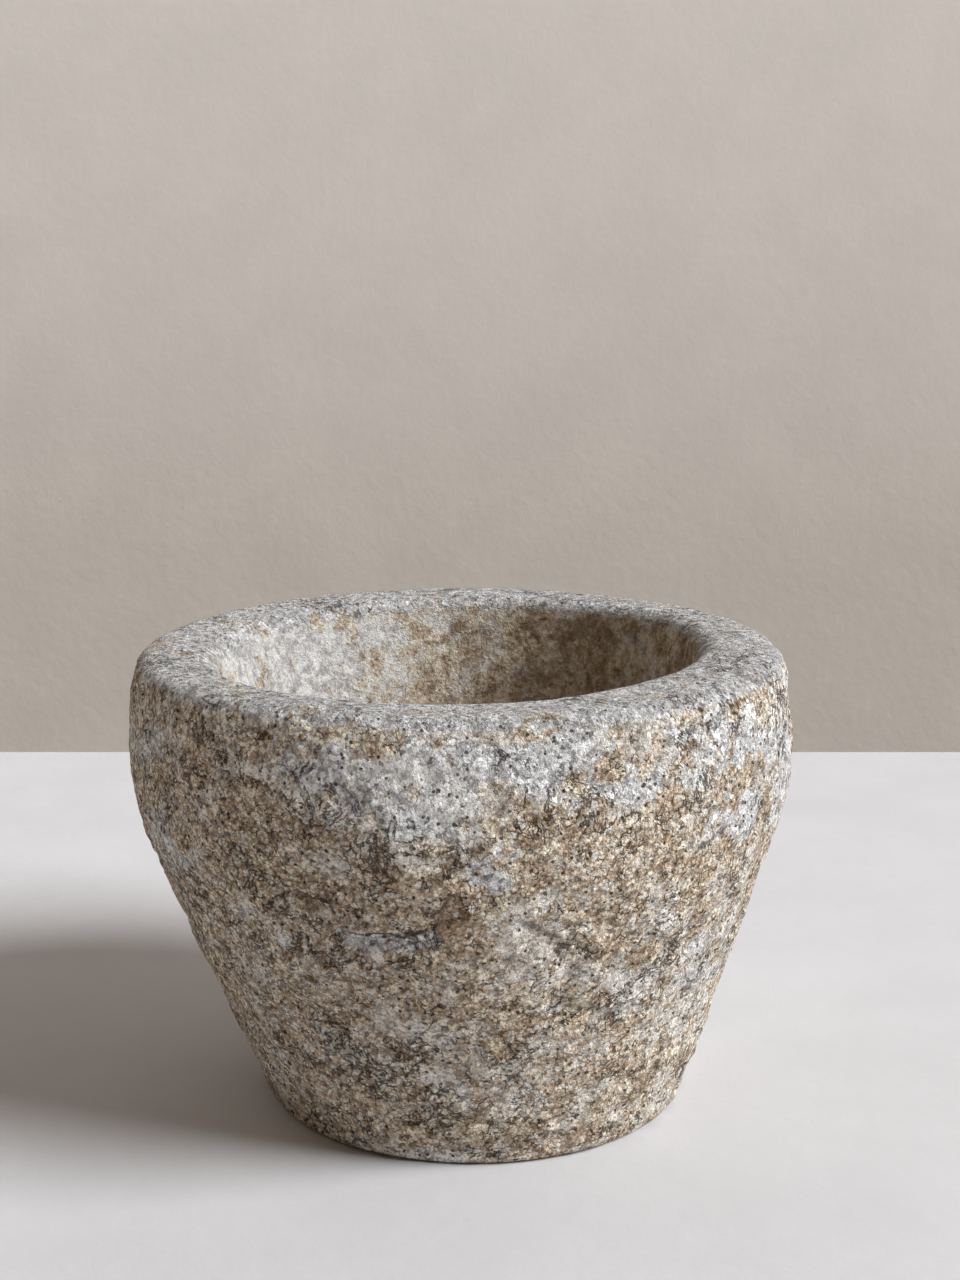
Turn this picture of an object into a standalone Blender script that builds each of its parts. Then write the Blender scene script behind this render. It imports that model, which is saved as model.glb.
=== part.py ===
"""A hand-cut granite mortar, with a loose stone pestle leaning in its bowl.

Metres, +Z up. The origin is on the ground under the middle of the bowl's widest ring.
The mortar is a turned form that is then pushed slightly out of true, because it was cut by eye:
its foot sits a little to one side, its plan is not quite round, and its rim is not quite level.
"""

import math

import bpy
from mathutils import Matrix, Vector

MM = 0.001

# Mortar: the turned form
HEIGHT = 160.8 * MM
FOOT_RADIUS = 75.0 * MM
FOOT_EDGE = 3.5 * MM
WALL_TAPER = 0.362  # how much radius the outer wall gains per unit of height
BELLY_HEIGHT = 117.1 * MM  # where the tapered wall and the rim band would meet in a corner
BELLY_ROUNDING = 90.0 * MM
SHOULDER_RADIUS = 112.0 * MM
SHOULDER_ROUNDING = 8.0 * MM
LIP_RADIUS = 84.0 * MM
LIP_ROUNDING = 8.0 * MM
BOWL_FLOOR = 46.0 * MM
BOWL_FLOOR_RADIUS = 66.0 * MM
BOWL_ROUNDING = 46.0 * MM
MORTAR_STEPS = 72

# Mortar: how far the cutting strays from the turned form
FOOT_SHIFT = 4.9 * MM  # the foot's middle, to +X of the belly's
FOOT_SHIFT_TOP = 90.0 * MM  # the height above which the wall runs true again
PLAN_OVAL = 0.5 * MM
PLAN_OVAL_TURN = math.radians(35)
PLAN_LOBES = 0.4 * MM
PLAN_LOBES_TURN = math.radians(80)
BOWL_SHIFT = Vector((-0.8, -0.3)) * MM
BOWL_OVAL = 1.1 * MM
BOWL_OVAL_TURN = math.radians(52)
LIP_TILT = 1.7 * MM  # the lip drops by this on the -X side and rises by it on the +X side

# Pestle: a club with a ball end, measured along its own axis
PESTLE_LENGTH = 140.0 * MM
GRIP_RADIUS = 17.0 * MM
WAIST_RADIUS = 15.5 * MM
WAIST_HEIGHT = 84.0 * MM
WAIST_ROUNDING = 90.0 * MM
HEAD_RADIUS = 24.5 * MM
HEAD_SIDE_HEIGHT = 36.0 * MM
HEAD_SIDE_ROUNDING = 30.0 * MM
HEAD_ROUNDING = 20.0 * MM
PESTLE_STEPS = 32

# Pestle: how it leans, its ball end on the floor of the bowl and its grip on the wall
PESTLE_LEAN = math.radians(50.25)  # from upright
PESTLE_HEADING = math.radians(-68)  # the side it leans to, counted from +X
PESTLE_FOOT = Vector((-12.4, 30.6, 57.0)) * MM

# How finely round stretches are cut into flats
ARC_TURN = math.radians(15)
ARC_LENGTH = 6.0 * MM


def corner_arc(before, corner, after, radius):
    """Points of the arc that rounds a corner of an outline, tangent to both of its sides."""
    to_before = (before - corner).normalized()
    to_after = (after - corner).normalized()
    half_angle = to_before.angle(to_after) / 2
    centre = corner + (to_before + to_after).normalized() * radius / math.sin(half_angle)
    start = corner + to_before * radius / math.tan(half_angle) - centre
    turn = start.angle_signed(corner + to_after * radius / math.tan(half_angle) - centre)
    count = math.ceil(max(abs(turn) / ARC_TURN, abs(turn) * radius / ARC_LENGTH))
    return [centre + Matrix.Rotation(-turn * i / count, 2) @ start for i in range(count + 1)]


def rounded_outline(corners):
    """An outline through (radius, height, rounding) corners, its ends left as they are."""
    points = [Vector(corner[:2]) for corner in corners]
    outline = [points[0]]
    for i in range(1, len(corners) - 1):
        outline += corner_arc(points[i - 1], points[i], points[i + 1], corners[i][2])
    outline.append(points[-1])
    return outline


def turned_mesh(name, outline, steps):
    """The solid that an outline sweeps around Z, as a mesh of its own."""
    profile = bpy.data.meshes.new(name + "_profile")
    edges = [(i, i + 1) for i in range(len(outline) - 1)]
    profile.from_pydata([(p.x, 0, p.y) for p in outline], edges, [])
    lathe = bpy.data.objects.new(name + "_lathe", profile)
    bpy.context.scene.collection.objects.link(lathe)
    screw = lathe.modifiers.new("Turn", "SCREW")
    screw.steps = steps
    screw.render_steps = steps
    screw.use_merge_vertices = True
    screw.merge_threshold = 0.00001
    mesh = bpy.data.meshes.new_from_object(lathe.evaluated_get(bpy.context.evaluated_depsgraph_get()))
    bpy.data.objects.remove(lathe)
    bpy.data.meshes.remove(profile)
    mesh.name = name
    mesh.shade_smooth()
    return mesh


def stone(name, colour, roughness):
    """A dry, uncoated stone finish."""
    material = bpy.data.materials.new(name)
    material.use_nodes = True
    shader = material.node_tree.nodes["Principled BSDF"]
    shader.inputs["Base Color"].default_value = (*colour, 1)
    shader.inputs["Roughness"].default_value = roughness
    shader.inputs["Metallic"].default_value = 0
    return material


def ease(value):
    """0 below 0, 1 above 1, and a smooth rise between."""
    value = min(max(value, 0), 1)
    return value * value * (3 - 2 * value)


def stray(x, y, z):
    """Where the cutter's hand left a point of the turned mortar."""
    angle = math.atan2(y, x)
    radius = math.hypot(x, y)
    in_bowl = ease((SHOULDER_RADIUS - radius) / (SHOULDER_RADIUS - LIP_RADIUS)) * ease(z / BOWL_FLOOR)
    reach = radius / SHOULDER_RADIUS
    plan = PLAN_OVAL * math.cos(2 * (angle - PLAN_OVAL_TURN))
    plan += PLAN_LOBES * math.cos(3 * (angle - PLAN_LOBES_TURN))
    bowl = BOWL_OVAL * math.cos(2 * (angle - BOWL_OVAL_TURN))
    outward = reach * (plan + (bowl - plan) * in_bowl)
    above_floor = ease((z - BOWL_FLOOR) / (HEIGHT - BOWL_FLOOR))
    return (
        x + outward * math.cos(angle) + FOOT_SHIFT * (1 - ease(z / FOOT_SHIFT_TOP)) + BOWL_SHIFT.x * in_bowl,
        y + outward * math.sin(angle) + BOWL_SHIFT.y * in_bowl,
        z + LIP_TILT * math.cos(angle) * in_bowl * above_floor,
    )


def make_mortar():
    """The bowl: its outline runs from the bowl's floor up and over the rim, and down to the foot."""
    belly_radius = FOOT_RADIUS + WALL_TAPER * BELLY_HEIGHT
    outline = rounded_outline(
        [
            (0, BOWL_FLOOR, 0),
            (BOWL_FLOOR_RADIUS, BOWL_FLOOR, BOWL_ROUNDING),
            (LIP_RADIUS, HEIGHT, LIP_ROUNDING),
            (SHOULDER_RADIUS, HEIGHT, SHOULDER_ROUNDING),
            (belly_radius, BELLY_HEIGHT, BELLY_ROUNDING),
            (FOOT_RADIUS, 0, FOOT_EDGE),
            (0, 0, 0),
        ]
    )
    mesh = turned_mesh("mortar", outline, MORTAR_STEPS)
    for vertex in mesh.vertices:
        vertex.co = stray(*vertex.co)
    mesh.set_sharp_from_angle(angle=math.radians(40))
    mesh.materials.append(stone("mortar_granite", (0.38, 0.33, 0.28), 0.9))
    return bpy.data.objects.new("mortar", mesh)


def make_pestle():
    """The club, standing on its ball end at its own origin, with its outline run top to bottom."""
    outline = rounded_outline(
        [
            (0, PESTLE_LENGTH, 0),
            (GRIP_RADIUS, PESTLE_LENGTH, 0.9 * GRIP_RADIUS),
            (WAIST_RADIUS, WAIST_HEIGHT, WAIST_ROUNDING),
            (HEAD_RADIUS, HEAD_SIDE_HEIGHT, HEAD_SIDE_ROUNDING),
            (HEAD_RADIUS, 0, HEAD_ROUNDING),
            (0, 0, 0),
        ]
    )
    mesh = turned_mesh("pestle", outline, PESTLE_STEPS)
    mesh.materials.append(stone("pestle_granite", (0.34, 0.31, 0.28), 0.8))
    return bpy.data.objects.new("pestle", mesh)


def lay_in_bowl(pestle, collection):
    """Lean the pestle, on an empty that lies on the line it is lifted along."""
    lift = bpy.data.objects.new("pestle_lift_line", None)
    lift.location = PESTLE_FOOT
    collection.objects.link(lift)
    pestle.parent = lift
    pestle.rotation_euler = (0, PESTLE_LEAN, PESTLE_HEADING)


for old in list(bpy.data.objects):
    bpy.data.objects.remove(old)

parts = bpy.data.collections.new("mortar_and_pestle")
bpy.context.scene.collection.children.link(parts)
mortar = make_mortar()
pestle = make_pestle()
for part in (mortar, pestle):
    parts.objects.link(part)
lay_in_bowl(pestle, parts)
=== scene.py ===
import math
import random

import bpy
import numpy as np
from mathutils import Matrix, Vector, noise


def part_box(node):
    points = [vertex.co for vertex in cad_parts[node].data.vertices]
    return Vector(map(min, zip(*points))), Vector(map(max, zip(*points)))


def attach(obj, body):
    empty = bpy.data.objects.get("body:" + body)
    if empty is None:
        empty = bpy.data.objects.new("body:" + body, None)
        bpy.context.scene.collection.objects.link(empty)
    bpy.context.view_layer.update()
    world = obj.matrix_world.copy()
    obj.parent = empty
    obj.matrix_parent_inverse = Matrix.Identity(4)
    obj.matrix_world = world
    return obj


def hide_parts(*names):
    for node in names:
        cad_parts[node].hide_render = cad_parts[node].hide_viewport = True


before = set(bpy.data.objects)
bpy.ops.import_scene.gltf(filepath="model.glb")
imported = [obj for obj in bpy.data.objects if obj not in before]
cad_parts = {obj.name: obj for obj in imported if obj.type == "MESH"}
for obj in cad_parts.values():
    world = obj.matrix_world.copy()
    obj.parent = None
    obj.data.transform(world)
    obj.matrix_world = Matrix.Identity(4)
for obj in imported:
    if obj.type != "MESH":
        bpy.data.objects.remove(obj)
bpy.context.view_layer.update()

# The looks of a hand-cut granite mortar and its pestle, on a pale floor in soft studio light.
# Each stone is the CAD node's own form, remeshed finely, then roughened by noise: lumps left by the
# cutter, flakes, split ledges, crust and pits. Each point also keeps what was done to it as attributes,
# which the granite material reads to paint shade into low places and pits, tint patches and paint shadow
# lines along the ledges; inside the bowl the patches also paint light on the lit side and shade on the
# other.

MM = 0.001
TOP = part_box("mortar")[1].z
VIEWER_SIDE = math.radians(-90)  # the direction, counted from +X, that patch angles start from

MORTAR_VOXEL = 1.5 * MM
PESTLE_VOXEL = 1.1 * MM

BOWL_FLOOR = 46 * MM  # height of the floor inside the bowl


# ---------------------------------------------------------------- noise on points

def smooth_step(low, high, values):
    """0 below low, 1 above high, and a smooth rise between."""
    t = np.clip((values - low) / (high - low), 0, 1)
    return t * t * (3 - 2 * t)


def field(points, size, seed, octaves=1, stretch=(1, 1, 1)):
    """Smooth noise of about -1 to 1, whose lumps are about size across."""
    offset = Vector((seed * 17.3, seed * 9.1, seed * 5.7))
    scaled = points / (size * np.array(stretch))
    return np.array([noise.fractal(Vector(p) + offset, 1.0, 2.1, octaves) for p in scaled])


def pits(points, spacing, seed, share, width):
    """1 in the middle of scattered round pits and 0 away from them; share of the cells have one."""
    offset = Vector((seed * 3.1, seed * 7.7, seed * 11.9))
    depth = np.zeros(len(points))
    for i, p in enumerate(points / spacing):
        distances, centres = noise.voronoi(Vector(p) + offset)
        if noise.cell(centres[0] * 5.3) < share:
            depth[i] = math.exp(-((distances[0] / width) ** 2))
    return depth


# ---------------------------------------------------------------- listed marks

# Each patch of colour on the outer wall: degrees round from the viewer's side towards +X, height, half
# width, half height (mm), and strength. They are listed one by one, and scattered_patches adds more round
# the back.
PATCHES = {
    "grey": [
        (8, 147, 40, 10, 0.9), (26, 138, 28, 10, 0.6), (46, 143, 34, 14, 0.6), (-4, 133, 26, 11, 0.8),
        (50, 118, 20, 10, 0.7), (-13, 88, 20, 6, 0.9), (5, 113, 9, 13, 0.7), (-60, 105, 25, 14, 0.4),
        (-22, 143, 24, 9, 0.7), (-30, 84, 8, 6, 0.5), (10, 70, 9, 7, 0.4), (-58, 140, 22, 10, 0.4),
        (70, 130, 25, 25, 0.6), (60, 60, 25, 30, 0.4), (-25, 86, 10, 8, 0.3), (30, 70, 20, 12, 0.3),
    ],
    "tan": [
        (-40, 112, 26, 12, 0.9), (-48, 128, 12, 10, 0.7), (-12, 104, 22, 12, 0.9), (-33, 124, 22, 10, 0.7),
        (-50, 88, 16, 12, 0.7), (-7, 81, 12, 7, 0.9), (15, 110, 18, 9, 0.4), (-32, 24, 22, 12, 0.8),
        (-20, 12, 22, 10, 0.6), (3, 12, 14, 10, 0.5), (26, 33, 12, 8, 0.5), (-42, 146, 14, 6, 0.6),
        (-33, 60, 18, 12, 0.4), (8, 68, 20, 8, 0.4), (-60, 40, 20, 20, 0.6), (42, 26, 10, 8, 0.4),
        (52, 104, 12, 7, 0.5), (66, 80, 10, 16, 0.5), (-66, 70, 14, 16, 0.6), (28, 112, 22, 11, 0.8),
        (22, 96, 16, 9, 0.7), (40, 95, 12, 16, 0.5), (14, 127, 9, 7, 0.6), (35, 127, 12, 7, 0.6),
        (24, 143, 6, 5, 0.8), (48, 130, 8, 8, 0.6),
    ],
    "brown": [
        (-23, 103, 11, 8, 0.9), (-22, 88, 16, 10, 0.6), (-1, 96, 5, 9, 0.9), (-19, 72, 12, 12, 0.5),
        (18, 88, 6, 10, 0.6), (-18, 132, 6, 8, 0.6), (58, 124, 14, 9, 0.6), (47, 110, 8, 9, 0.5),
        (25, 54, 24, 6, 0.5), (7, 30, 9, 8, 0.6), (2, 60, 8, 7, 0.5), (34, 34, 8, 6, 0.5),
        (23, 14, 10, 8, 0.4), (-37, 130, 8, 10, 0.4), (3, 6, 8, 6, 0.5), (0, 115, 10, 10, 0.4),
    ],
    "white": [
        (-9, 144, 10, 7, 0.9), (-23, 136, 14, 6, 0.8), (0, 136, 9, 9, 0.8), (-3, 126, 6, 6, 0.6),
        (36, 90, 13, 10, 0.7), (10, 76, 9, 4, 0.6), (-6, 53, 10, 7, 0.8), (-17, 31, 7, 7, 0.6),
        (-2, 32, 11, 8, 0.8), (14, 26, 8, 8, 0.9), (33, 50, 7, 5, 0.6), (20, 105, 18, 5, 0.5),
        (8, 98, 8, 6, 0.4), (-29, 50, 7, 6, 0.5), (-37, 62, 6, 6, 0.4), (-45, 30, 15, 8, 0.5),
        (-10, 3, 22, 3, 0.9), (12, 4, 14, 3, 0.6), (45, 75, 10, 8, 0.4), (62, 150, 16, 8, 0.8),
    ],
}
HIDDEN_PATCHES = 15  # of each kind, round the back

# Each ledge, where a flake has split off below a ragged line: degrees round, height, half length,
# fall of the line towards +X, and depth (mm)
LEDGES = [
    (-27, 104, 13, 4, 1.9), (-12, 91, 13, -1, 1.5), (-2, 104, 6, -7, 1.0), (-38, 118, 9, 3, 0.8),
    (14, 92, 8, 5, 0.9), (26, 60, 12, 3, 0.8), (44, 114, 10, -4, 1.0), (-20, 62, 9, 2, 0.7),
    (120, 96, 16, 3, 1.3), (165, 70, 14, -4, 1.1), (-150, 110, 15, 4, 1.2), (-100, 60, 12, -3, 1.1),
]
FULL_LEDGE_DEPTH = 1.5  # mm; a shallower ledge gets a fainter painted shadow line
FAR_FROM_LEDGE = 5.0  # mm


def scattered_patches(kind):
    """Patches like the listed ones, spread by chance round the half that faces away."""
    chance = random.Random(kind)
    return [
        (
            chance.uniform(80, 280),
            chance.uniform(4, 156),
            chance.uniform(7, 30),
            chance.uniform(5, 14),
            chance.uniform(0.4, 0.9),
        )
        for _ in range(HIDDEN_PATCHES)
    ]


def round_from_viewer(points):
    """Radians round from the viewer's side towards +X, of each point."""
    return np.arctan2(points[:, 0], -points[:, 1])


def offset_round(points, degrees):
    """How far round the wall each point is from a direction, in millimetres."""
    turn = round_from_viewer(points) - math.radians(degrees)
    turn = (turn + math.pi) % (2 * math.pi) - math.pi
    return turn * np.hypot(points[:, 0], points[:, 1]) / MM


def patch_cover(points, patches, ragged):
    """How strongly a set of patches covers each point, their edges broken up by ragged."""
    cover = np.zeros(len(points))
    for degrees, height, half_width, half_height, strength in patches:
        across = offset_round(points, degrees) / half_width
        up = (points[:, 2] / MM - height) / half_height
        reach = np.hypot(across, up) + 0.8 * ragged
        cover = np.maximum(cover, strength * smooth_step(-1.25, -0.45, -reach))
    return cover


def split_ledges(points, ragged):
    """For each point: how deep flakes have split off, how far below a ledge's line it is (both in
    millimetres), and how surely it is near one."""
    depth = np.zeros(len(points))
    nearest = np.full(len(points), FAR_FROM_LEDGE)
    near = np.zeros(len(points))
    for degrees, height, half_length, fall, drop in LEDGES:
        along = offset_round(points, degrees) / half_length
        below = height - fall * along + 2.0 * ragged - points[:, 2] / MM
        taper = smooth_step(-1.2, -0.7, -np.abs(along))
        flake = smooth_step(-0.3, 1.0, below) * smooth_step(-13, -3, -below)
        depth = np.maximum(depth, drop * flake * taper)
        closer = np.abs(below) < np.abs(nearest)
        nearest = np.where(closer & (taper > 0), below, nearest)
        sureness = min(1, drop / FULL_LEDGE_DEPTH) * taper
        near = np.maximum(near, sureness * smooth_step(-4, -2, -np.abs(below)))
    return depth, nearest, near


# ---------------------------------------------------------------- stone meshes

def fine_copy(node, name, voxel):
    """The CAD node's form as a new object with an even, fine mesh."""
    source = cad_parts[node]
    rough = bpy.data.objects.new(name + "_rough", source.data.copy())
    bpy.context.scene.collection.objects.link(rough)
    remesh = rough.modifiers.new("Even", "REMESH")
    remesh.mode = "VOXEL"
    remesh.voxel_size = voxel
    relax = rough.modifiers.new("Relax", "SMOOTH")
    relax.factor = 0.5
    relax.iterations = 8
    mesh = bpy.data.meshes.new_from_object(rough.evaluated_get(bpy.context.evaluated_depsgraph_get()))
    bpy.data.objects.remove(rough)
    mesh.name = name
    mesh.materials.clear()
    mesh.attributes.active_color = None
    mesh.shade_smooth()
    stone = bpy.data.objects.new(name, mesh)
    bpy.context.scene.collection.objects.link(stone)
    return stone


def read_points(mesh):
    """The mesh's points and their normals, as two arrays."""
    points = np.zeros(len(mesh.vertices) * 3)
    normals = np.zeros(len(mesh.vertices) * 3)
    mesh.vertices.foreach_get("co", points)
    mesh.vertices.foreach_get("normal", normals)
    return points.reshape(-1, 3), normals.reshape(-1, 3)


def write_points(mesh, points):
    mesh.vertices.foreach_set("co", points.astype(np.float32).ravel())
    mesh.update()


def keep(mesh, name, values):
    """Keeps one number for each point on the mesh, for the material to read."""
    layer = mesh.attributes.new(name, "FLOAT", "POINT")
    layer.data.foreach_set("value", values.astype(np.float32))


def rough_mortar():
    """The mortar's stone: worn smooth on the rim, crusted outside, tooled inside, flat underneath."""
    stone = fine_copy("mortar", "mortar_stone", MORTAR_VOXEL)
    mesh = stone.data
    points, normals = read_points(mesh)
    radius = np.hypot(points[:, 0], points[:, 1])
    height = points[:, 2]
    outside = smooth_step(-0.2, 0.3, (normals[:, :2] * points[:, :2]).sum(1) / np.maximum(radius, MM))
    on_rim = smooth_step(0.25, 0.8, normals[:, 2]) * smooth_step(TOP - 20 * MM, TOP - 8 * MM, height)
    inside = (1 - outside) * (height > BOWL_FLOOR - 2 * MM) * (1 - on_rim)
    off_ground = smooth_step(0, 4 * MM, height)

    lumps = field(points, 42 * MM, 1)
    dents = field(points, 15 * MM, 2, 2)
    crust = field(points, 6 * MM, 3, 3)
    flaking = field(points, 34 * MM, 4, 5)
    flaked = smooth_step(0.05, 0.12, flaking)
    pit = pits(points, 11 * MM, 5, 0.35, 0.2)
    small_pit = pits(points, 5 * MM, 6, 0.4, 0.26)
    tooling = field(points, 9 * MM, 7, 2, stretch=(1, 1, 4))

    split, below_ledge, near_ledge = split_ledges(points, field(points, 7 * MM, 8, 2))

    # How far each of these moves the surface outward, in millimetres
    crusted = outside * (1 - 0.75 * on_rim)
    rise = 0.55 * lumps - 0.35
    rise += (0.55 * crusted + 0.2) * dents
    rise += (0.5 * crusted + 0.12) * crust
    rise -= 0.7 * crusted * flaked + outside * split
    rise -= (1.1 * crusted + 0.15) * pit
    rise -= (0.5 * crusted + 0.1) * small_pit
    rise += 0.35 * inside * tooling
    moved = points + normals * (rise * off_ground * MM)[:, None]
    low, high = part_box("mortar")
    write_points(mesh, np.clip(moved, low, high))

    # Painted shade: the low places in the crust and the pits are darkened by the material
    keep(mesh, "hollow_shade", np.clip(0.5 - 0.5 * crust + 0.5 * pit + 0.3 * small_pit, 0, 1.5))
    keep(mesh, "below_ledge", below_ledge)
    keep(mesh, "near_ledge", outside * near_ledge)
    keep(mesh, "worn", np.maximum(0.1 * on_rim, 0.7 * inside))
    keep(mesh, "dull", np.maximum(0.28 * on_rim, 0.27 * inside))
    # Painted light inside the bowl: the wall that faces the key light is made paler, on top of a real
    # paling towards the top
    lit_side = smooth_step(-0.5, 0.8, -points[:, 0] / np.maximum(radius, MM))
    pale_top_and_painted_light = inside * smooth_step(80 * MM, 145 * MM, height) * (0.25 + 0.75 * lit_side)
    mottle = field(points, 16 * MM, 21, 4, stretch=(1, 1, 1.8))
    # On the inside, grey and white follow the paler, painted-light part, and tan and brown fill the rest:
    # the lower wall's own colour, and painted shade on the shaded side
    off_the_wall = {
        "grey": 0.8 * on_rim + 0.5 * pale_top_and_painted_light,
        "tan": 0.6 * (inside - pale_top_and_painted_light),
        "brown": (inside - pale_top_and_painted_light) * np.clip(0.7 + 1.2 * mottle, 0, 1.3),
        "white": inside * (0.1 + 0.4 * pale_top_and_painted_light) * np.clip(1 - 2 * mottle, 0, 2),
    }
    ragged = field(points, 13 * MM, 9, 5)
    for kind, patches in PATCHES.items():
        cover = patch_cover(points, patches + scattered_patches(kind), ragged)
        keep(mesh, kind, np.maximum(outside * (1 - on_rim) * cover, off_the_wall[kind]))
    return stone


def rough_pestle():
    """The pestle's stone: a dressed grip, and a working end worn smoother."""
    stone = fine_copy("pestle", "pestle_stone", PESTLE_VOXEL)
    mesh = stone.data
    points, normals = read_points(mesh)
    low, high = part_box("pestle")
    worn = 1 - smooth_step(0.25, 0.5, (points[:, 2] - low.z) / (high.z - low.z))
    crust = field(points, 5 * MM, 13, 3)
    pit = pits(points, 8 * MM, 15, 0.4, 0.2)
    rise = 0.35 * field(points, 20 * MM, 11) - 0.25
    rise += (0.3 - 0.2 * worn) * crust - (0.6 - 0.3 * worn) * pit
    write_points(mesh, np.clip(points + normals * (rise * MM)[:, None], low, high))
    # Painted shade: the low places in the crust and the pits are darkened by the material
    keep(mesh, "hollow_shade", np.clip(0.5 - 0.5 * crust + 0.8 * pit, 0, 1.5))
    keep(mesh, "below_ledge", np.full(len(points), FAR_FROM_LEDGE))
    keep(mesh, "near_ledge", np.zeros(len(points)))
    keep(mesh, "worn", 0.15 + 0.3 * worn)
    keep(mesh, "dull", 0.15 + 0.1 * worn)
    for kind in PATCHES:
        keep(mesh, kind, smooth_step(0.1, 0.5, field(points, 16 * MM, len(kind), 4)) * 0.5)
    return stone


# ---------------------------------------------------------------- material

class Nodes:
    """A material's node tree, with short ways to add the nodes that granite needs."""

    def __init__(self, name):
        self.material = bpy.data.materials.new(name)
        self.material.use_nodes = True
        self.tree = self.material.node_tree
        self.shader = self.tree.nodes["Principled BSDF"]
        self.place = self.tree.nodes.new("ShaderNodeTexCoord").outputs["Object"]

    def link(self, value, socket):
        """Connects an output, or sets a plain number or colour."""
        if hasattr(value, "is_linked"):
            self.tree.links.new(value, socket)
        else:
            socket.default_value = value

    def attribute(self, name):
        node = self.tree.nodes.new("ShaderNodeAttribute")
        node.attribute_name = name
        return node.outputs["Fac"]

    def math(self, operation, a, b=0.0):
        node = self.tree.nodes.new("ShaderNodeMath")
        node.operation = operation
        self.link(a, node.inputs[0])
        self.link(b, node.inputs[1])
        return node.outputs[0]

    def spread(self, value, low, high, to_low=0.0, to_high=1.0):
        """Maps low..high onto to_low..to_high and holds it there."""
        node = self.tree.nodes.new("ShaderNodeMapRange")
        node.interpolation_type = "SMOOTHSTEP"
        self.link(value, node.inputs["Value"])
        node.inputs["From Min"].default_value = low
        node.inputs["From Max"].default_value = high
        node.inputs["To Min"].default_value = to_low
        node.inputs["To Max"].default_value = to_high
        return node.outputs["Result"]

    def noise(self, size, detail=2.0, roughness=0.5, seed=0.0, warp=0.0):
        node = self.tree.nodes.new("ShaderNodeTexNoise")
        node.noise_dimensions = "4D"
        node.inputs["W"].default_value = seed
        node.inputs["Scale"].default_value = 1 / size
        node.inputs["Detail"].default_value = detail
        node.inputs["Roughness"].default_value = roughness
        node.inputs["Distortion"].default_value = warp
        self.link(self.place, node.inputs["Vector"])
        return node.outputs["Fac"]

    def warped_place(self, size, amount):
        """The object's coordinates, stirred so that grain edges aren't straight."""
        stir = self.tree.nodes.new("ShaderNodeTexNoise")
        stir.inputs["Scale"].default_value = 1 / size
        stir.inputs["Detail"].default_value = 2
        self.link(self.place, stir.inputs["Vector"])
        centred = self.tree.nodes.new("ShaderNodeVectorMath")
        centred.operation = "SUBTRACT"
        self.link(stir.outputs["Color"], centred.inputs[0])
        centred.inputs[1].default_value = (0.5, 0.5, 0.5)
        moved = self.tree.nodes.new("ShaderNodeVectorMath")
        moved.operation = "MULTIPLY_ADD"
        self.link(centred.outputs[0], moved.inputs[0])
        moved.inputs[1].default_value = (amount, amount, amount)
        self.link(self.place, moved.inputs[2])
        return moved.outputs[0]

    def grains(self, place, size):
        """Two random numbers that are the same all over each grain, and the distance from its middle."""
        node = self.tree.nodes.new("ShaderNodeTexVoronoi")
        node.inputs["Scale"].default_value = 1 / size
        self.link(place, node.inputs["Vector"])
        split = self.tree.nodes.new("ShaderNodeSeparateColor")
        self.link(node.outputs["Color"], split.inputs[0])
        return split.outputs[0], split.outputs[1], node.outputs["Distance"]

    def gaps(self, place, size):
        """The distance from the nearest boundary between grains."""
        node = self.tree.nodes.new("ShaderNodeTexVoronoi")
        node.feature = "DISTANCE_TO_EDGE"
        node.inputs["Scale"].default_value = 1 / size
        self.link(place, node.inputs["Vector"])
        return node.outputs["Distance"]

    def mix(self, share, a, b, mode="MIX"):
        node = self.tree.nodes.new("ShaderNodeMix")
        node.data_type = "RGBA"
        node.blend_type = mode
        self.link(share, node.inputs[0])
        self.link(a, node.inputs[6])
        self.link(b, node.inputs[7])
        return node.outputs[2]

    def bump(self, height, strength, depth):
        node = self.tree.nodes.new("ShaderNodeBump")
        node.inputs["Strength"].default_value = strength
        node.inputs["Distance"].default_value = depth
        self.link(height, node.inputs["Height"])
        return node.outputs["Normal"]


def srgb(red, green, blue):
    """A display colour of 0 to 255 as a linear one."""
    linear = [((c / 255 + 0.055) / 1.055) ** 2.4 for c in (red, green, blue)]
    return (*linear, 1)


GREY = srgb(192, 189, 186)
PALE_GREY = srgb(240, 238, 235)
CREAM = srgb(240, 228, 208)
TAN = srgb(202, 181, 157)
BROWN = srgb(138, 113, 89)
WHITE = srgb(248, 246, 242)
WARM_CAST = (1.0, 0.935, 0.85, 1)
COOL_CAST = (0.955, 0.968, 1.0, 1)
DARK = srgb(46, 35, 26)

GRAIN = 1.3 * MM  # across one mineral grain
FINE = 0.7 * MM  # specks within a grain
CRUMB = 3.5 * MM  # light and dark within an area
ISLAND = 12 * MM  # areas of tan grain, with grey crust between them
PIT_SPACING = 2.6 * MM
PLATE = 3.0 * MM  # across the plates that gaps open round
SOCKET_SPACING = 7 * MM  # where whole grains have dropped out
SHADOW_LINE_WANDER = 3.5  # mm that the painted shadow line by a ledge strays from the ledge's line


def leaning(n, value, towards, away, weight):
    """A noise value pushed up where one patch layer lies and down where another does."""
    lean = n.math("SUBTRACT", n.attribute(towards), n.attribute(away))
    return n.math("ADD", value, n.math("MULTIPLY", lean, weight))


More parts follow.
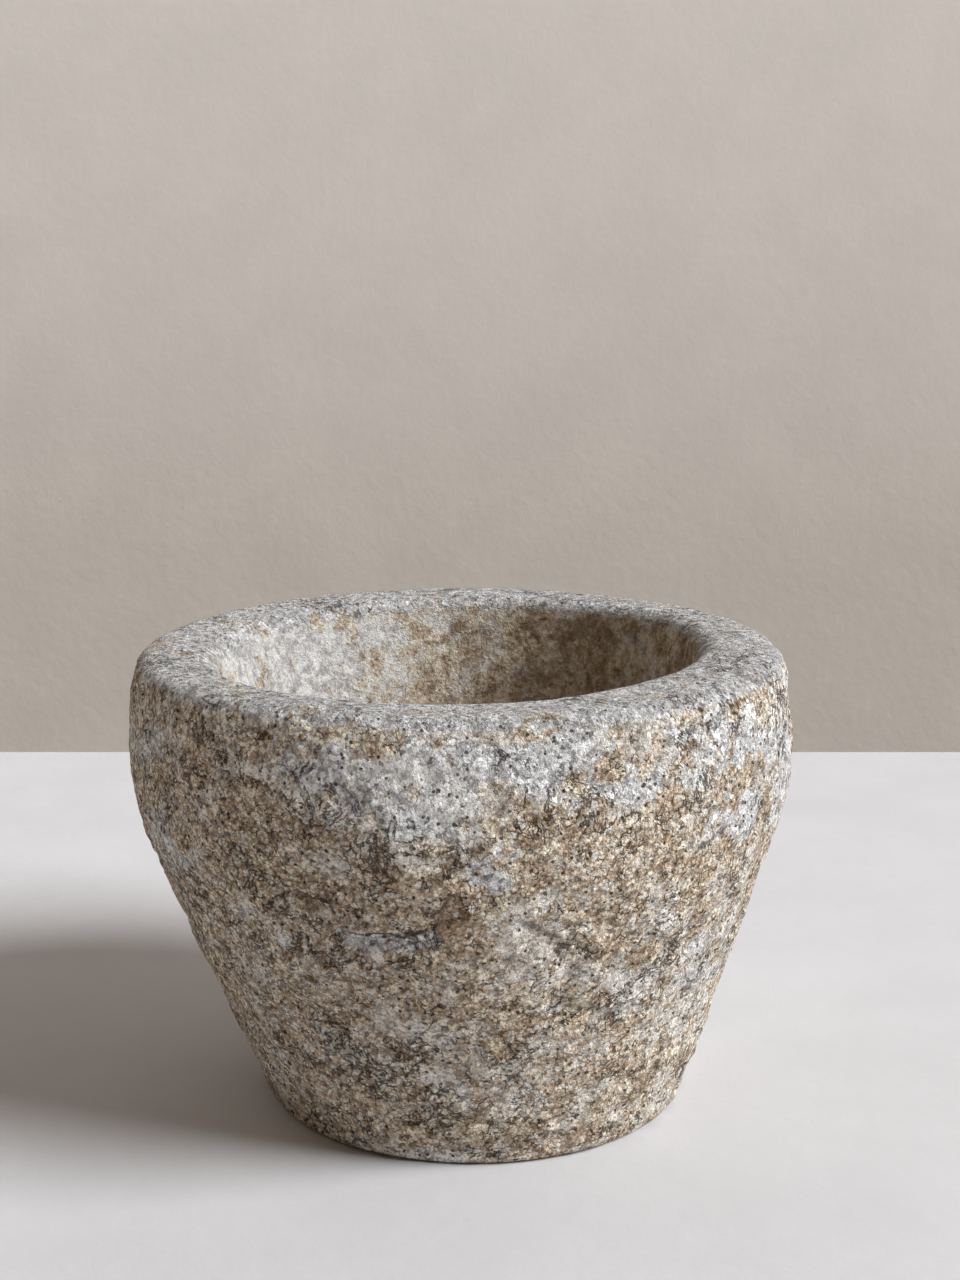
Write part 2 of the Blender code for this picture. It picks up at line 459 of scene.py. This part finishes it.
def area_colour(n, crumbs, is_tan):
    """The colour of each area: grey crust or tan grain, with soil and white deposits over them."""
    crust = n.mix(n.spread(crumbs, 0.42, 0.58), GREY, PALE_GREY)
    cast = n.mix(n.spread(n.attribute("grey"), 0.0, 0.7), WARM_CAST, COOL_CAST)
    crust = n.mix(1.0, crust, cast, "MULTIPLY")
    grain = n.mix(n.spread(crumbs, 0.36, 0.46), BROWN, TAN)
    grain = n.mix(n.spread(crumbs, 0.48, 0.58), grain, CREAM)
    colour = n.mix(is_tan, crust, grain)
    soil = leaning(n, n.noise(8 * MM, 6, 0.76, 3), "brown", "white", 0.14)
    colour = n.mix(n.spread(soil, 0.54, 0.66, 0, 0.65), colour, BROWN)
    deposit = leaning(n, n.noise(7 * MM, 6, 0.76, 8), "white", "brown", 0.14)
    return n.mix(n.spread(deposit, 0.54, 0.64, 0, 0.7), colour, WHITE)


def ledge_shadow_line(n):
    """1 along the wandering, broken line of painted shadow that runs by each ledge's line."""
    wander = n.math("SUBTRACT", n.noise(3 * MM, 5, 0.65, 11), 0.5)
    below = n.math("SUBTRACT", n.attribute("below_ledge"), 0.3)
    shadow_line = n.math("ABSOLUTE", n.math("ADD", below, n.math("MULTIPLY", wander, SHADOW_LINE_WANDER)))
    shadow_line = n.spread(shadow_line, 0.45, 1.4, 1, 0)
    shadow_line = n.math("MULTIPLY", shadow_line, n.spread(n.attribute("near_ledge"), 0.3, 0.9))
    return n.math("MULTIPLY", shadow_line, n.spread(n.noise(3.5 * MM, 4, 0.65, 10), 0.22, 0.36))


def openings(n, stirred, torn, is_tan):
    """1 where the stone is open: seams, pits, gaps round plates, sockets, and the painted shadow lines by
    the ledges.
    """
    seam = n.math("ABSOLUTE", n.math("SUBTRACT", n.noise(11 * MM, 5, 0.62, 5, warp=0.5), 0.5))
    seam = n.spread(seam, 0.0, 0.028, 1, 0)
    seam = n.math("MULTIPLY", seam, n.spread(n.noise(19 * MM, 2, 0.5, 6), 0.5, 0.58))
    chance, _, from_pit = n.grains(stirred, PIT_SPACING)
    pit = n.math("MULTIPLY", n.spread(from_pit, 0.14, 0.28, 1, 0), n.spread(chance, 0.6, 0.65))
    gap = n.spread(n.gaps(torn, PLATE), 0.0, 0.09, 1, 0)
    gap = n.math("MULTIPLY", gap, n.spread(n.noise(4 * MM, 3, 0.7, 7), 0.48, 0.58))
    gap = n.math("MULTIPLY", gap, n.spread(is_tan, 0, 1, 0.4, 1.0))
    chance, _, from_socket = n.grains(torn, SOCKET_SPACING)
    socket = n.math("MULTIPLY", n.spread(from_socket, 0.07, 0.15, 1, 0), n.spread(chance, 0.5, 0.55))
    opened = n.math("MAXIMUM", n.math("MAXIMUM", seam, pit), n.math("MAXIMUM", gap, socket))
    return n.math("MAXIMUM", opened, ledge_shadow_line(n))


def granite(name):
    """Weathered granite: a grey crust with ragged islands of tan grain, white deposits and pits."""
    n = Nodes(name)
    stirred = n.warped_place(1.0 * MM, 0.8 * MM)
    torn = n.warped_place(3.0 * MM, 3.0 * MM)
    mineral, tone, from_middle = n.grains(stirred, GRAIN)
    islands = n.noise(ISLAND, 7, 0.7, 1, warp=0.4)
    crumbs = n.noise(CRUMB, 5, 0.72, 2, warp=0.3)
    fine = n.noise(FINE, 3, 0.8, 4)
    rough = n.math("SUBTRACT", 1.0, n.attribute("worn"))
    is_tan = n.spread(leaning(n, islands, "tan", "grey", 0.15), 0.435, 0.515)
    colour = area_colour(n, crumbs, is_tan)

    # The grain: painted shading of each grain, lighter in its middle and darker and browner towards the
    # crevices between grains, and each grain and speck a little lighter or darker
    crevice = n.math("MULTIPLY", n.spread(from_middle, 0.35, 0.8), n.spread(is_tan, 0, 1, 0.35, 1.0))
    crevice = n.math("MULTIPLY", crevice, n.spread(n.noise(5 * MM, 3, 0.6, 9), 0.35, 0.6, 0.3, 1.0))
    shade = n.math("MULTIPLY", n.spread(mineral, 0, 1, 0.72, 1.28), n.spread(fine, 0.3, 0.7, 0.6, 1.4))
    shade = n.math("MULTIPLY", shade, n.spread(crevice, 0, 1, 1.22, 0.9))
    shade = n.math("MULTIPLY", n.math("SUBTRACT", shade, 1.0), rough)
    colour = n.mix(1.0, colour, n.math("ADD", shade, 1.0), "MULTIPLY")
    # Painted shade: the crevices between grains tinted darker brown
    colour = n.mix(n.math("MULTIPLY", n.math("MULTIPLY", crevice, rough), 0.55), colour, BROWN)

    # A few black grains and white grains, the white also standing in for glints as painted highlights;
    # then painted shade in everything that is open and in the low places
    opened = n.math("MULTIPLY", openings(n, stirred, torn, is_tan), rough)
    colour = n.mix(n.math("MULTIPLY", n.spread(tone, 0.94, 0.97, 0, 0.6), rough), colour, DARK)
    # White grains, partly real and partly painted glints as painted highlights
    colour = n.mix(n.math("MULTIPLY", n.spread(tone, 0.05, 0.09, 0.7, 0), rough), colour, WHITE)
    # Painted shade in the openings: seams, pits, gaps, sockets and the ledges' lines
    colour = n.mix(n.math("MULTIPLY", opened, 0.88), colour, DARK)
    # Painted shade in the low places of the crust and in the pits
    colour = n.mix(n.spread(n.attribute("hollow_shade"), 0.9, 1.4, 0, 0.5), colour, DARK)
    colour = n.mix(1.0, colour, n.math("SUBTRACT", 1.0, n.attribute("dull")), "MULTIPLY")
    n.link(colour, n.shader.inputs["Base Color"])

    n.link(n.spread(mineral, 0, 1, 0.8, 0.97), n.shader.inputs["Roughness"])
    n.shader.inputs["Specular IOR Level"].default_value = 0.2

    # The relief that is too fine for the mesh, in millimetres
    height = n.math("ADD", n.math("MULTIPLY", crumbs, 4.0), fine)
    height = n.math("ADD", height, n.math("MULTIPLY", islands, 4.0))
    height = n.math("ADD", height, n.math("MULTIPLY", mineral, 0.2))
    height = n.math("SUBTRACT", height, n.math("MULTIPLY", crevice, 0.35))
    height = n.math("SUBTRACT", height, n.math("MULTIPLY", opened, 0.8))
    height = n.math("MULTIPLY", height, n.math("ADD", n.math("MULTIPLY", rough, 0.8), 0.2))
    n.link(n.bump(height, 1.0, 1.0 * MM), n.shader.inputs["Normal"])
    return n.material


# ---------------------------------------------------------------- stage, light and camera

ROOM_SIZE = 24.0
FLOOR_ENDS = 0.445  # the far edge of the floor, as a +Y coordinate
WALL_BEHIND = 1.05
KEY_AZIMUTH = math.radians(71)  # from the viewer's side round to +X
KEY_HEIGHT = math.radians(38)
KEY_SPREAD = math.radians(28)
KEY_STRENGTH = 4.6
KEY_COLOUR = (0.95, 0.975, 1.0)
ROOM_STRENGTH = 0.135
ROOM_COLOUR = (1.0, 0.76, 0.51, 1)
ROOM_AS_SEEN = srgb(182, 177, 169)
FLOOR_COLOUR = srgb(204, 203, 205)
WALL_COLOUR = srgb(239, 232, 225)
CAMERA_PLACE = Vector((0.0063, -0.6578, 0.2989))
CAMERA_PITCH = math.radians(11.83)
CAMERA_LENS = 54.1


def plaster(name, colour):
    """A matte pale plaster, barely uneven."""
    n = Nodes(name)
    uneven = n.noise(60 * MM, 5, 0.6, 1)
    tinted = n.mix(1.0, colour, n.spread(uneven, 0.3, 0.7, 0.95, 1.0), "MULTIPLY")
    n.link(tinted, n.shader.inputs["Base Color"])
    n.link(n.spread(uneven, 0, 1, 0.85, 0.95), n.shader.inputs["Roughness"])
    n.link(n.bump(n.noise(9 * MM, 6, 0.6, 2), 0.25, 1 * MM), n.shader.inputs["Normal"])
    return n.material


def make_room():
    """A plain pale floor that ends a little behind the object, and a plain wall further back."""
    bpy.ops.mesh.primitive_plane_add(size=ROOM_SIZE, location=(0, FLOOR_ENDS - ROOM_SIZE / 2, 0))
    floor = bpy.context.object
    floor.name = "floor"
    floor.data.materials.append(plaster("floor_plaster", FLOOR_COLOUR))
    upright = (math.pi / 2, 0, 0)
    bpy.ops.mesh.primitive_plane_add(size=ROOM_SIZE, location=(0, WALL_BEHIND, 0), rotation=upright)
    wall = bpy.context.object
    wall.name = "wall"
    wall.data.materials.append(plaster("wall_plaster", WALL_COLOUR))


def make_light():
    """One soft light from the right front, and a dim warm room that itself looks pale."""
    light = bpy.data.lights.new("key", "SUN")
    light.angle = KEY_SPREAD
    light.energy = KEY_STRENGTH
    light.color = KEY_COLOUR
    key = bpy.data.objects.new("key", light)
    bpy.context.scene.collection.objects.link(key)
    side = VIEWER_SIDE + KEY_AZIMUTH
    towards = Vector((math.cos(side), math.sin(side), math.tan(KEY_HEIGHT)))
    key.rotation_euler = towards.to_track_quat("Z", "Y").to_euler()
    world = bpy.data.worlds.new("room")
    bpy.context.scene.world = world
    world.use_nodes = True
    nodes = world.node_tree.nodes
    room = nodes["Background"]
    room.inputs["Color"].default_value = ROOM_COLOUR
    room.inputs["Strength"].default_value = ROOM_STRENGTH
    seen = nodes.new("ShaderNodeBackground")
    seen.inputs["Color"].default_value = ROOM_AS_SEEN
    choice = nodes.new("ShaderNodeMixShader")
    links = world.node_tree.links
    links.new(nodes.new("ShaderNodeLightPath").outputs["Is Camera Ray"], choice.inputs[0])
    links.new(room.outputs[0], choice.inputs[1])
    links.new(seen.outputs[0], choice.inputs[2])
    links.new(choice.outputs[0], nodes["World Output"].inputs["Surface"])


def make_camera():
    camera = bpy.data.objects.new("camera", bpy.data.cameras.new("camera"))
    bpy.context.scene.collection.objects.link(camera)
    camera.data.lens = CAMERA_LENS
    camera.data.sensor_width = 36
    camera.location = CAMERA_PLACE
    camera.rotation_euler = (math.pi / 2 - CAMERA_PITCH, 0, 0)
    bpy.context.scene.camera = camera


make_camera()
make_room()
make_light()
bpy.context.scene.view_settings.view_transform = "Standard"
bpy.context.scene.cycles.denoising_prefilter = "NONE"  # keeps the grain of the stone crisp

mortar = rough_mortar()
mortar.data.materials.append(granite("mortar_granite_finish"))
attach(mortar, "mortar")
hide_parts("mortar")

pestle = rough_pestle()
pestle.data.materials.append(granite("pestle_granite_finish"))
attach(pestle, "pestle")
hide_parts("pestle")
